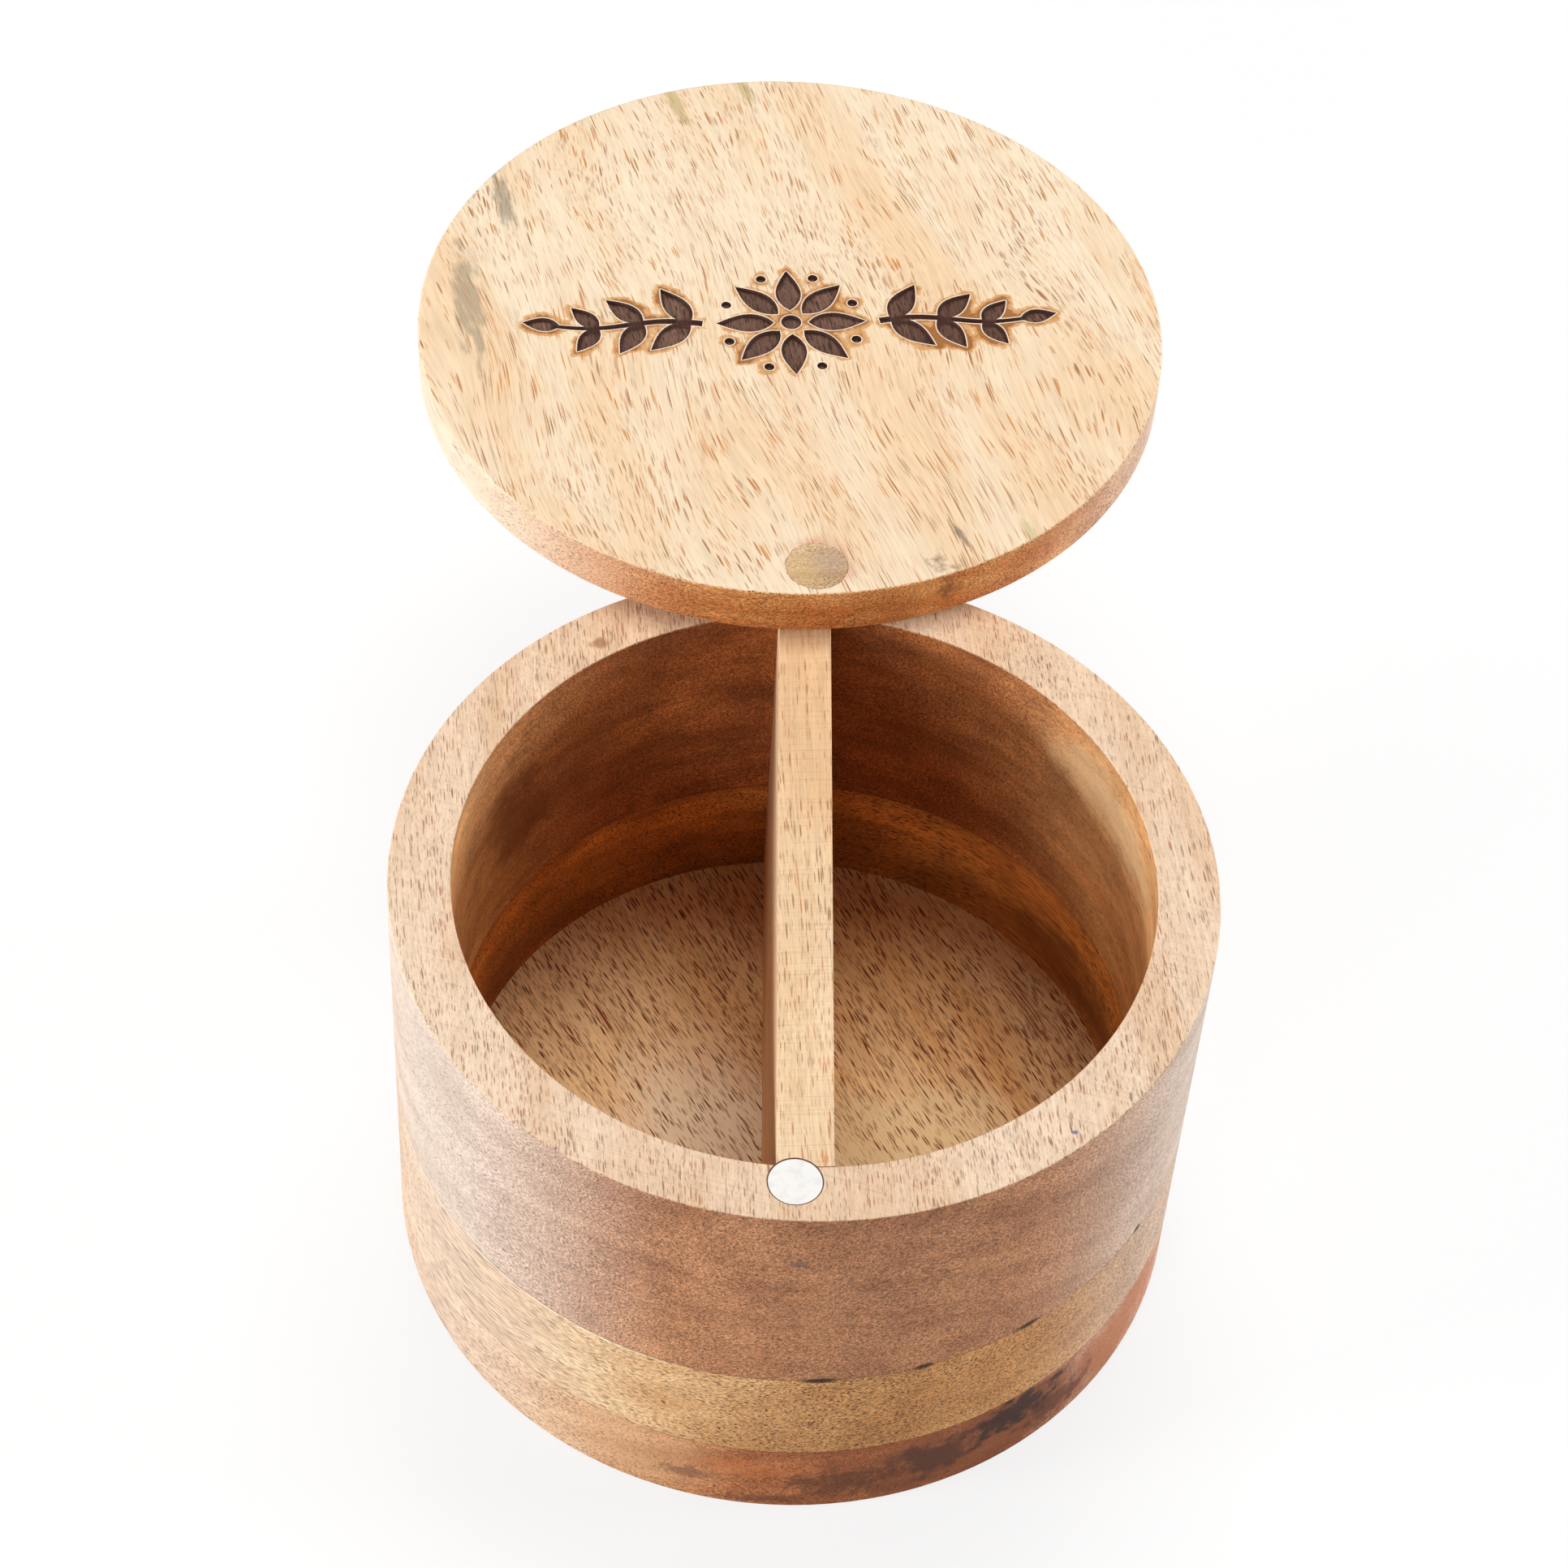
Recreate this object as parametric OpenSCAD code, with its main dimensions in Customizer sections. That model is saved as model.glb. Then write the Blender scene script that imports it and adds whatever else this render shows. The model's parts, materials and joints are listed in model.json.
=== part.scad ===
// Round two-compartment salt box in solid wood, with a lid that swivels on one screw.
// The body is three discs glued in a stack and turned round: a solid base and two rings.
// The origin is the centre of the foot. +Z is up, the pivot is at +Y and the magnet at -Y.

/* [Body] */
// Outside diameter of the body
body_d = 127; // [100:1:180]
// Thickness of the turned wall
wall_t = 9.6; // [9:0.1:14]
// Thickness of the solid base disc
base_t = 16.5; // [8:0.5:30]
// Height of the middle ring
middle_h = 20.6; // [10:0.1:50]
// Height of the upper ring, which carries the pivot and the magnet
upper_h = 42.3; // [30:0.1:80]
// Radius of the eased edges of the rim and the divider
rim_edge_r = 0.3; // [0.1:0.1:0.6]
// Radius of the eased edge round the foot
foot_edge_r = 1; // [0.2:0.1:3]

/* [Divider] */
// Thickness of the divider board
divider_t = 8.4; // [5:0.1:14]
// Turn of the divider from the line between pivot and magnet, in degrees
divider_turn = 1.5; // [-5:0.1:5]
// Glue line at each end of the divider
divider_glue = 0.05; // [0.02:0.01:0.2]

/* [Lid] */
// How far the lid's edge stands in from the outside of the body
lid_inset = 0.7; // [0:0.1:1.5]
// Thickness of the lid
lid_t = 8.5; // [7.5:0.1:14]
// Running gap between the rim and the lid
lid_gap = 0.3; // [0.1:0.05:1]
// Radius of the eased edges of the lid
lid_edge_r = 0.5; // [0.1:0.1:2]
// Turn of the lid from closed, in degrees
lid_turn = 185.7; // [0:0.1:360]

/* [Pivot] */
// Distance from the outside of the body to the centres of the pivot and the magnets
pivot_inset = 6.9; // [6.5:0.1:7.5]
// Diameter of the screw
screw_d = 4; // [3:0.1:5]
// Depth to which the screw bites into the upper ring
screw_bite = 18; // [10:0.5:25]
// Length of the screw's point
screw_point = 4; // [2:0.5:6]
// Diameter of the screw's pan head
head_d = 7.4; // [6:0.1:8.2]
// Height of the screw's pan head
head_h = 2.4; // [1.5:0.1:2.8]
// Depth of the cross recess in the head
recess_depth = 1.5; // [0.5:0.1:1.8]
// Width of the cross recess in the head
recess_w = 1; // [0.6:0.1:1.4]
// Diameter of the washer under the head
washer_d = 9; // [8:0.1:9.6]
// Thickness of the washer under the head
washer_t = 0.8; // [0.5:0.1:1.2]
// Thickness of the lid's wood left under the washer
seat_t = 2.8; // [2:0.1:3.2]
// Diameter of the wooden plug that hides the screw
plug_d = 10; // [9.8:0.1:10.6]
// Gap round the screw where the lid turns on it
run_gap = 0.05; // [0.02:0.01:0.1]
// Gap above and below the screw's head and washer
head_gap = 0.2; // [0.1:0.05:0.3]
// Glue line round the plug
plug_glue = 0.1; // [0.05:0.05:0.2]
// Gap between the thread and its pilot hole
thread_gap = 0.02; // [0.01:0.01:0.1]
// Extra depth of the pilot hole past the screw's point
pilot_spare = 1.5; // [0.5:0.5:4]

/* [Magnets] */
// Diameter of the two disc magnets
magnet_d = 8; // [6:0.5:9]
// Thickness of the two disc magnets
magnet_t = 3; // [1.5:0.1:4]
// Glue line round each magnet
magnet_glue = 0.15; // [0.05:0.05:0.3]
// Radius of the eased edge of the magnets
magnet_edge_r = 0.2; // [0.1:0.05:0.4]

/* [Hidden] */
// How far a cutting shape runs past the face that it opens
cut = 1;
// Steps in a small eased edge
edge_steps = 4;
body_r = body_d / 2;
hollow_r = body_r - wall_t;
lid_r = body_r - lid_inset;
// Distance of the pivot and the magnets from the body's axis
pivot_r = body_r - pivot_inset;
middle_z = base_t;
upper_z = middle_z + middle_h;
rim_z = upper_z + upper_h;
lid_z = rim_z + lid_gap;
lid_top = lid_z + lid_t;
// The screw's stack, from the wood under the washer up to the plug
washer_z = lid_z + seat_t + head_gap;
head_z = washer_z + washer_t;
plug_z = head_z + head_h + head_gap;
plug_t = lid_top - plug_z;
counterbore_r = plug_d / 2 + plug_glue;
screw_r = screw_d / 2;
bore_r = screw_r + run_gap;
magnet_pocket_r = magnet_d / 2 + magnet_glue;
$fn = 96;

// Points of a quarter round from angle a to angle a + 90, about the centre c
function quarter(c, r, a) =
    [for (i = [0:edge_steps]) c + r * [cos(a + 90 * i / edge_steps), sin(a + 90 * i / edge_steps)]];

// A solid disc whose lower and upper edges are eased
module eased_disc(r, h, low_r, high_r) {
    rotate_extrude()
        polygon(concat(
            [[0, 0]],
            low_r > 0 ? quarter([r - low_r, low_r], low_r, -90) : [[r, 0]],
            high_r > 0 ? quarter([r - high_r, h - high_r], high_r, 0) : [[r, h]],
            [[0, h]]
        ));
}

// A turned ring whose two upper edges may be eased
module turned_ring(r_in, r_out, h, high_r) {
    rotate_extrude()
        polygon(concat(
            [[r_in, 0], [r_out, 0]],
            high_r > 0 ? quarter([r_out - high_r, h - high_r], high_r, 0) : [[r_out, h]],
            high_r > 0 ? quarter([r_in + high_r, h - high_r], high_r, 90) : [[r_in, h]]
        ));
}

// Places a piece at the pivot, behind the body's axis
module at_pivot(z) {
    translate([0, pivot_r, z]) children();
}

// Places a piece at the magnet, in front of the body's axis
module at_magnet(z) {
    translate([0, -pivot_r, z]) children();
}

// Swings the lid and what is fixed in it about the pivot, from closed
module swung() {
    translate([0, pivot_r, 0]) rotate(lid_turn) translate([0, -pivot_r, 0]) children();
}

// The drilled pocket that takes the rim magnet, also where it nicks the divider's end
module rim_magnet_pocket() {
    at_magnet(rim_z - magnet_t) cylinder(r = magnet_pocket_r, h = magnet_t + cut);
}

module disc_magnet() {
    eased_disc(magnet_d / 2, magnet_t, magnet_edge_r, magnet_edge_r);
}

module base_disc() {
    color("peru") eased_disc(body_r, base_t, foot_edge_r, 0);
}

module middle_ring() {
    color("burlywood") translate([0, 0, middle_z]) turned_ring(hollow_r, body_r, middle_h, 0);
}

module upper_ring() {
    color("tan") difference() {
        translate([0, 0, upper_z]) turned_ring(hollow_r, body_r, upper_h, rim_edge_r);
        rim_magnet_pocket();
        at_pivot(rim_z - screw_bite - pilot_spare)
            cylinder(r = screw_r + thread_gap, h = screw_bite + pilot_spare + cut);
    }
}

// A board on edge that stands on the base, with its ends shaped to the turned wall
module divider() {
    divider_h = rim_z - base_t;
    half_t = divider_t / 2;
    color("wheat") difference() {
        intersection() {
            translate([0, 0, base_t]) rotate(divider_turn) rotate([90, 0, 0])
                linear_extrude(height = body_d, center = true)
                    polygon(concat(
                        [[-half_t, 0], [half_t, 0]],
                        quarter([half_t - rim_edge_r, divider_h - rim_edge_r], rim_edge_r, 0),
                        quarter([rim_edge_r - half_t, divider_h - rim_edge_r], rim_edge_r, 90)
                    ));
            cylinder(r = hollow_r - divider_glue, h = rim_z + cut);
        }
        rim_magnet_pocket();
    }
}

module rim_magnet() {
    color("silver") at_magnet(rim_z - magnet_t) disc_magnet();
}

// Pan head with a cross recess, a plain shank that the lid turns on, and a point in the wood
module pivot_screw() {
    shank_low = rim_z - screw_bite + screw_point;
    dome_r = (pow(head_d / 2, 2) + pow(head_h, 2)) / (2 * head_h);
    dome_a = asin(head_d / 2 / dome_r);
    dome_steps = 8;
    recess_span = head_d / 2;
    color("gainsboro") difference() {
        union() {
            at_pivot(head_z) rotate_extrude() polygon(concat(
                [[0, 0], [head_d / 2, 0]],
                [for (i = [1:dome_steps - 1]) let (a = dome_a * (1 - i / dome_steps))
                    [dome_r * sin(a), head_h - dome_r + dome_r * cos(a)]],
                [[0, head_h]]
            ));
            at_pivot(shank_low) cylinder(r = screw_r, h = head_z + head_h / 2 - shank_low);
            at_pivot(shank_low - screw_point) cylinder(r1 = 0, r2 = screw_r, h = screw_point);
        }
        for (turn = [0, 90])
            at_pivot(head_z + head_h - recess_depth) rotate(turn)
                translate([-recess_span / 2, -recess_w / 2, 0]) cube([recess_span, recess_w, head_h]);
    }
}

module pivot_washer() {
    color("silver") at_pivot(washer_z) difference() {
        cylinder(d = washer_d, h = washer_t);
        translate([0, 0, -cut]) cylinder(r = bore_r, h = washer_t + 2 * cut);
    }
}

module lid() {
    color("navajowhite") swung() difference() {
        translate([0, 0, lid_z]) eased_disc(lid_r, lid_t, lid_edge_r, lid_edge_r);
        at_pivot(lid_z - cut) cylinder(r = bore_r, h = lid_t + 2 * cut);
        at_pivot(lid_z + seat_t) cylinder(r = counterbore_r, h = lid_t + cut);
        at_magnet(lid_z - cut) cylinder(r = magnet_pocket_r, h = magnet_t + cut);
    }
}

module pivot_plug() {
    color("darkkhaki") swung() at_pivot(plug_z) cylinder(d = plug_d, h = plug_t);
}

module lid_magnet() {
    color("silver") swung() at_magnet(lid_z) disc_magnet();
}

base_disc();
middle_ring();
upper_ring();
divider();
rim_magnet();
pivot_screw();
pivot_washer();
lid();
pivot_plug();
lid_magnet();
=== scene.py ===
"""Looks of a round two-compartment salt box in solid wood, with a lid that swivels on one screw."""

import json
import math

import bmesh
import bpy
import numpy as np
from mathutils import Matrix, Vector
from mathutils.geometry import delaunay_2d_cdt


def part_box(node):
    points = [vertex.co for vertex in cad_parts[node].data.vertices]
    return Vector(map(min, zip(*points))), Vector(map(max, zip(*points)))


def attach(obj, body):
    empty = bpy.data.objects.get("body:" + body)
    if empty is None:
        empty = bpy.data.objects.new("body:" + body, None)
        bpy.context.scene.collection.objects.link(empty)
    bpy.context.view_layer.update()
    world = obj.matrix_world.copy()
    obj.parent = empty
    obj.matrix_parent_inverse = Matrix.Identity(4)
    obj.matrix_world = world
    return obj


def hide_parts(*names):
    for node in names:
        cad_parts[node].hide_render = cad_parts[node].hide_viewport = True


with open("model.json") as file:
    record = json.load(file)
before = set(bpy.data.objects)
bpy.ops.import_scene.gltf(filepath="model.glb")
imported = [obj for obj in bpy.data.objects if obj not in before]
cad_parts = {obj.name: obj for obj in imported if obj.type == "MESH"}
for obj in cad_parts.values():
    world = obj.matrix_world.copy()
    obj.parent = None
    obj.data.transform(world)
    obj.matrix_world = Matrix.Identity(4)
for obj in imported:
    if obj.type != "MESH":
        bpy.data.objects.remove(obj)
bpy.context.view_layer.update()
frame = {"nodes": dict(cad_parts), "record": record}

MM = 0.001
NODES = frame["nodes"]


def middle(node):
    """The centre of a node's box."""
    low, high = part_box(node)
    return (Vector(low) + Vector(high)) / 2


BASE_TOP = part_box("base_disc")[1][2] / MM
SEAM_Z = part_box("upper_ring")[0][2] / MM
RIM_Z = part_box("upper_ring")[1][2] / MM
HOLLOW_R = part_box("divider")[1][1] / MM
BODY_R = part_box("base_disc")[1][0] / MM
LID_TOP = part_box("lid")[1][2]
PLUG = middle("pivot_plug")
LID_MAGNET = middle("lid_magnet")
RIM_MAGNET = middle("rim_magnet")
PLUG_R = (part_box("pivot_plug")[1][0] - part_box("pivot_plug")[0][0]) / 2
MAGNET_R = (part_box("rim_magnet")[1][0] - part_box("rim_magnet")[0][0]) / 2
# The lid's centre lies halfway between its plug and its magnet
LID_CENTRE = (PLUG + LID_MAGNET) / 2
LID_TURN = math.atan2(PLUG.y - LID_MAGNET.y, PLUG.x - LID_MAGNET.x) + math.pi / 2


def srgb(red, green, blue):
    """Linear colour of an sRGB colour given from 0 to 255."""
    parts = [c / 255 for c in (red, green, blue)]
    return tuple(c / 12.92 if c <= 0.04045 else ((c + 0.055) / 1.055) ** 2.4 for c in parts) + (1.0,)


class Shader:
    """A material under construction, with one short call per kind of node."""

    def __init__(self, name):
        self.material = bpy.data.materials.new(name)
        self.material.use_nodes = True
        self.tree = self.material.node_tree
        self.tree.nodes.clear()
        self.output = self.node("ShaderNodeOutputMaterial")

    def node(self, kind, **settings):
        made = self.tree.nodes.new(kind)
        for key, value in settings.items():
            setattr(made, key, value)
        return made

    def feed(self, socket, value):
        """Links another node's output to the socket, or sets its value."""
        if isinstance(value, bpy.types.NodeSocket):
            self.tree.links.new(value, socket)
        else:
            socket.default_value = value

    def math(self, operation, *values):
        made = self.node("ShaderNodeMath", operation=operation)
        for socket, value in zip(made.inputs, values):
            self.feed(socket, value)
        return made.outputs[0]

    def vector(self, operation, *values):
        made = self.node("ShaderNodeVectorMath", operation=operation)
        for socket, value in zip(made.inputs, values):
            self.feed(socket, value)
        return made.outputs["Value" if operation == "LENGTH" else "Vector"]

    def turned(self, vector, *degrees):
        """The vector as seen in a frame turned by three angles."""
        made = self.node("ShaderNodeVectorRotate", rotation_type="EULER_XYZ", invert=True)
        self.feed(made.inputs["Vector"], vector)
        made.inputs["Rotation"].default_value = [math.radians(d) for d in degrees]
        return made.outputs["Vector"]

    def split(self, vector):
        made = self.node("ShaderNodeSeparateXYZ")
        self.feed(made.inputs[0], vector)
        return made.outputs

    def joined(self, x, y, z):
        made = self.node("ShaderNodeCombineXYZ")
        for socket, value in zip(made.inputs, (x, y, z)):
            self.feed(socket, value)
        return made.outputs[0]

    def noise(self, vector, stretch, detail=2.0, roughness=0.5, output="Fac"):
        """Noise whose features are about as long, in the vector's unit, as stretch says."""
        made = self.node("ShaderNodeTexNoise")
        self.feed(made.inputs["Vector"], self.vector("MULTIPLY", vector, tuple(1 / v for v in stretch)))
        made.inputs["Scale"].default_value = 1.0
        made.inputs["Detail"].default_value = detail
        made.inputs["Roughness"].default_value = roughness
        return made.outputs[output]

    def step(self, value, low, high, to_low=0.0, to_high=1.0):
        """A smooth step from to_low at low to to_high at high."""
        made = self.node("ShaderNodeMapRange", interpolation_type="SMOOTHSTEP")
        sockets = ("Value", "From Min", "From Max", "To Min", "To Max")
        for socket, given in zip(sockets, (value, low, high, to_low, to_high)):
            self.feed(made.inputs[socket], given)
        return made.outputs["Result"]

    def mix(self, share, first, second, blend="MIX"):
        """The first colour, and the second by its share."""
        made = self.node("ShaderNodeMix", data_type="RGBA", blend_type=blend)
        # Inputs 6 and 7 and output 2 are the ones for colours
        self.feed(made.inputs[0], share)
        self.feed(made.inputs[6], first)
        self.feed(made.inputs[7], second)
        return made.outputs[2]

    def shade(self, colour, factor):
        """The colour made darker or lighter by a factor."""
        return self.mix(1.0, colour, self.joined(factor, factor, factor), "MULTIPLY")

    def bump(self, height, distance, strength):
        made = self.node("ShaderNodeBump")
        self.feed(made.inputs["Height"], height)
        made.inputs["Distance"].default_value = distance
        made.inputs["Strength"].default_value = strength
        return made.outputs["Normal"]

    def surface(self, **sockets):
        made = self.node("ShaderNodeBsdfPrincipled")
        for key, value in sockets.items():
            self.feed(made.inputs[key.replace("_", " ")], value)
        self.tree.links.new(made.outputs[0], self.output.inputs["Surface"])
        return self.material


class Wood(Shader):
    """Solid wood: growth bands, fibres, pores as ticks along the grain, and darker end grain.

    angle is the direction of the grain in plan and tilt its rise, in degrees. sway is how far it wanders
    sideways and up, pith the place of the growth rings' centre beside and above the grain's own line, and
    pitch their spacing, in mm. bands says where their noise turns from light to dark. face and end each
    hold a light and a dark colour. pore, fine and streak are the length and width of three sorts of pores
    in mm and the share of places that have one. flat is their height over their width. pore_colours and
    the shares are pairs, for a face along the grain and one across it.
    """

    # Lengths in mm along the grain, sideways and up: bends of the grain, fibres, patches of tone,
    # crowds of pores and stretches in which pores are equally dark
    WANDER = (80, 26, 26)
    FIBRE = (9, 0.5, 0.5)
    PATCH = (45, 9, 9)
    CROWD = (50, 7, 7)
    DEPTH = (12, 2, 2)
    # Length and width in mm of fine threads of colour, and length along which a ring keeps its tone
    THREAD = (30, 0.4)
    RING_LENGTH = 160
    # Half width of a pore in the cells that it is scattered over
    PORE_R = 0.38
    # Shift of the grain in mm for one step of the seed, so that each piece is cut from its own wood
    SEED_STEP = (31.7, 17.3, 53.1)
    # Turn in degrees of the axis along which the outside carries the most painted sheen
    PAINTED_SHEEN_TURN = 10
    # Length, width and depth in mm of sanding lines
    SANDING = (14, 0.3, 14)
    # Height of the waves in the bands of painted highlight and painted shade round the inside, in mm
    BAND_WAVE = 4.0
    # How far under an edge its painted highlight line runs, in mm
    ARRIS_DROP = 0.35
    # Share of the glue's colour in the hairline of a seam
    SEAM_SHARE = 0.45

    def __init__(
        self, name, angle, tilt, seed, pith, pitch, face, end, pore_colours, pore, fine,
        streak=(24, 0.22, 0.05), flat=1.0, pore_shares=(0.8, 0.6), fine_shares=(0.45, 0.5),
        thread_shares=(0.5, 2.0), bands=(0.34, 0.66), sway=(8, 8),
    ):
        super().__init__(name)
        self.flat = flat
        shift = [step * seed for step in self.SEED_STEP]
        self.set_place(angle, tilt, shift, sway)
        tone = self.growth(shift, pith, pitch, bands)
        fibres = self.noise(self.grain, self.FIBRE, 3.0, 0.6)
        side = self.mix(tone, srgb(*face[0]), srgb(*face[1]))
        across = self.mix(tone, srgb(*end[0]), srgb(*end[1]))
        self.colour = self.mix(self.end, side, across)
        self.colour = self.shade(self.colour, self.step(fibres, 0.25, 0.75, 0.92, 1.06))
        length, width = self.THREAD
        threads = self.noise(self.grain, (length, width, width * flat), 2.0, 0.65)
        threads = self.math("SUBTRACT", threads, 0.5)
        swing = self.math("MULTIPLY_ADD", threads, self.by_face(thread_shares), 1.0)
        self.colour = self.shade(self.colour, swing)

        crowd = self.step(self.noise(self.grain, self.CROWD, 2.0, 0.5), 0.3, 0.7, -0.35, 0.35)
        ragged = self.math("MULTIPLY_ADD", fibres, 0.4, -0.2)
        bold = self.pores(pore, crowd, ragged)
        small = self.pores(fine, crowd, ragged)
        thin = self.pores(streak, 0.0, ragged)
        dark = self.mix(self.end, srgb(*pore_colours[0]), srgb(*pore_colours[1]))
        depth = self.noise(self.grain, self.DEPTH, 2.0, 0.6)
        dark = self.shade(dark, self.step(depth, 0.35, 0.65, 1.35, 0.6))
        for mask, shares in ((thin, pore_shares), (small, fine_shares), (bold, pore_shares)):
            covered = self.math("MULTIPLY", mask, self.by_face(shares))
            self.colour = self.mix(covered, self.colour, dark)

        # The face between the pores
        self.plain = self.math("SUBTRACT", 1.0, self.math("MAXIMUM", bold, small))
        # How much the grain and the pores lighten or darken the face, for a colour laid over them
        veins = self.math("MULTIPLY", self.step(tone, 0.0, 1.0, 1.08, 0.9), swing)
        specks = self.math("MAXIMUM", bold, self.math("MULTIPLY", small, 0.7))
        self.texture = self.math("MULTIPLY", veins, self.math("MULTIPLY_ADD", specks, -0.6, 1.0))
        self.height = self.math("SUBTRACT", self.math("MULTIPLY", fibres, 0.4), bold)
        self.rough = self.step(fibres, 0.2, 0.8, 0.6, 0.74)

    def set_place(self, angle, tilt, shift, sway):
        """Where a point lies in its piece and in its wood, and which way the face there looks."""
        source = self.node("ShaderNodeTexCoord")
        self.normal = source.outputs["Normal"]
        scaled = self.node("ShaderNodeVectorMath", operation="SCALE")
        self.feed(scaled.inputs[0], source.outputs["Object"])
        scaled.inputs["Scale"].default_value = 1 / MM
        # The place in mm, in the object's own axes
        self.place = scaled.outputs["Vector"]
        turn = (0, -tilt, angle)
        straight = self.vector("ADD", self.turned(self.place, *turn), shift)
        bends = self.noise(straight, self.WANDER, 1.0, 0.5, "Color")
        bends = self.vector("SUBTRACT", bends, (0.5, 0.5, 0.5))
        # The place in mm in the wood's own frame, x along the grain
        self.grain = self.vector("ADD", straight, self.vector("MULTIPLY", bends, (0, *sway)))
        # Shares from 0 to 1 of an upright face, of a level one and of one across the grain
        self.upright = self.step(self.math("ABSOLUTE", self.split(self.normal)[2]), 0.7, 0.3)
        self.flat_face = self.math("SUBTRACT", 1.0, self.upright)
        facing = self.math("ABSOLUTE", self.split(self.turned(self.normal, *turn))[0])
        self.end = self.step(facing, 0.25, 0.95)
        # Shares of the wall of the hollow and of the rest, until inner_wall sets them
        self.inside = 0.0
        self.outside = 1.0

    def growth(self, shift, pith, pitch, bands):
        """The share of dark wood: rings round the pith, and patches."""
        from_pith = self.vector("SUBTRACT", self.grain, (0, pith[0] + shift[1], pith[1] + shift[2]))
        radius = self.vector("LENGTH", self.vector("MULTIPLY", from_pith, (0, 1, 1)))
        along = self.split(self.grain)[0]
        ring = self.noise(self.joined(along, radius, 0.0), (self.RING_LENGTH, pitch, 1), 3.0, 0.6)
        patches = self.noise(self.grain, self.PATCH, 2.0, 0.5)
        both = self.math("MULTIPLY_ADD", patches, 0.4, self.math("MULTIPLY", ring, 0.6))
        return self.step(both, *bands)

    def by_face(self, pair):
        """The pair's first value on a face along the grain, and its second on one across it."""
        return self.step(self.end, 0.0, 1.0, *pair)

    def pores(self, pore, crowd, ragged):
        """Short tubes along the grain: ticks on a face cut along it, dots on one cut across."""
        length, width, share = pore
        cells = self.node("ShaderNodeTexVoronoi")
        spacing = [size / (2 * self.PORE_R) for size in (length, width, width * self.flat)]
        self.feed(cells.inputs["Vector"], self.vector("MULTIPLY", self.grain, tuple(1 / v for v in spacing)))
        cells.inputs["Scale"].default_value = 1.0
        away = self.math("ADD", cells.outputs["Distance"], ragged)
        lots = self.split(cells.outputs["Color"])
        chosen = self.math("LESS_THAN", self.math("SUBTRACT", lots[0], crowd), share)
        strength = self.math("MULTIPLY", self.step(lots[1], 0.0, 1.0, 0.45, 1.0), chosen)
        return self.math("MULTIPLY", self.step(away, self.PORE_R, 0.6 * self.PORE_R), strength)

    def spot(self, at, size, turn, colour, share, ragged=0.5, only=1.0):
        """A soft blotch in mm, elongated along turn, in degrees in plan.

        Without a height in at it goes right through the piece. only is a share that limits it.
        """
        x, y, z = at if len(at) == 3 else (*at, 0.0)
        off = self.turned(self.vector("SUBTRACT", self.place, (x, y, z)), 0, 0, turn)
        tall = 1 / size[1] if len(at) == 3 else 0.0
        away = self.vector("LENGTH", self.vector("MULTIPLY", off, (1 / size[0], 1 / size[1], tall)))
        rough_edge = self.noise(self.grain, (size[0] * 0.4, size[1] * 0.5, size[1] * 0.5), 3.0, 0.6)
        away = self.math("MULTIPLY_ADD", self.math("SUBTRACT", rough_edge, 0.5), 2 * ragged, away)
        mask = self.math("MULTIPLY", self.math("MULTIPLY", self.step(away, 1.0, 0.35), share), only)
        self.colour = self.mix(mask, self.colour, srgb(*colour))

    def sanded(self, turn, share):
        """Fine straight sanding lines on the level faces, some of them deeper."""
        lines = self.noise(self.turned(self.place, 0, 0, turn), self.SANDING, 2.0, 0.6)
        swing = self.math("MULTIPLY", self.step(lines, 0.3, 0.7, share, -share), self.flat_face)
        deep = self.math("MULTIPLY", self.step(lines, 0.6, 0.68, 0.0, -2.5 * share), self.flat_face)
        self.colour = self.shade(self.colour, self.math("ADD", self.math("ADD", swing, deep), 1.0))

    def painted_sheen(self, colour, share):
        """Painted sheen: the duller, paler look of the outside left and right of the front, with the grain
        still showing.
        """
        across, ahead, _ = self.split(self.turned(self.normal, 0, 0, self.PAINTED_SHEEN_TURN))
        sideways = self.step(self.math("ABSOLUTE", across), 0.4, 0.95, 0.0, share)
        there = self.math("MULTIPLY", sideways, self.step(ahead, 0.3, -0.3, 0.4, 1.0))
        there = self.math("MULTIPLY", self.math("MULTIPLY", there, self.upright), self.outside)
        self.colour = self.mix(there, self.colour, self.shade(srgb(*colour), self.texture))

    def painted_arris_highlight(self, height, share):
        """A painted highlight: a paler line along the grain just under a height, where an edge catches the
        light.
        """
        level = self.math("SUBTRACT", self.split(self.place)[2], height - self.ARRIS_DROP)
        line = self.step(self.math("ABSOLUTE", level), 0.3, 0.1, 0.0, share)
        line = self.math("MULTIPLY", line, self.upright)
        line = self.math("MULTIPLY", line, self.step(self.end, 0.6, 0.1))
        line = self.math("MULTIPLY", line, self.outside)
        self.colour = self.mix(line, self.colour, srgb(255, 246, 232))

    def inner_wall(self):
        """The turned inside, tinted deeper and darker as painted shade, with blotches and fine marks."""
        from_axis = self.vector("LENGTH", self.vector("MULTIPLY", self.place, (1, 1, 0)))
        near = self.step(from_axis, HOLLOW_R + 0.6, HOLLOW_R + 0.2)
        self.inside = self.math("MULTIPLY", near, self.upright)
        self.outside = self.math("SUBTRACT", 1.0, self.inside)
        # Painted shade: the inside tinted deeper and darker
        self.colour = self.mix(self.inside, self.colour, srgb(246, 215, 172), "MULTIPLY")
        blotch = self.noise(self.turned(self.place, 0, 0, 20), (14, 14, 5), 3.0, 0.6)
        blotch = self.step(blotch, 0.3, 0.7, 0.8, 1.2)
        marks = self.step(self.noise(self.place, (30, 30, 0.5), 2.0, 0.6), 0.3, 0.7, 0.92, 1.08)
        marked = self.shade(self.colour, self.math("MULTIPLY", blotch, marks))
        self.colour = self.mix(self.inside, self.colour, marked)

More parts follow.
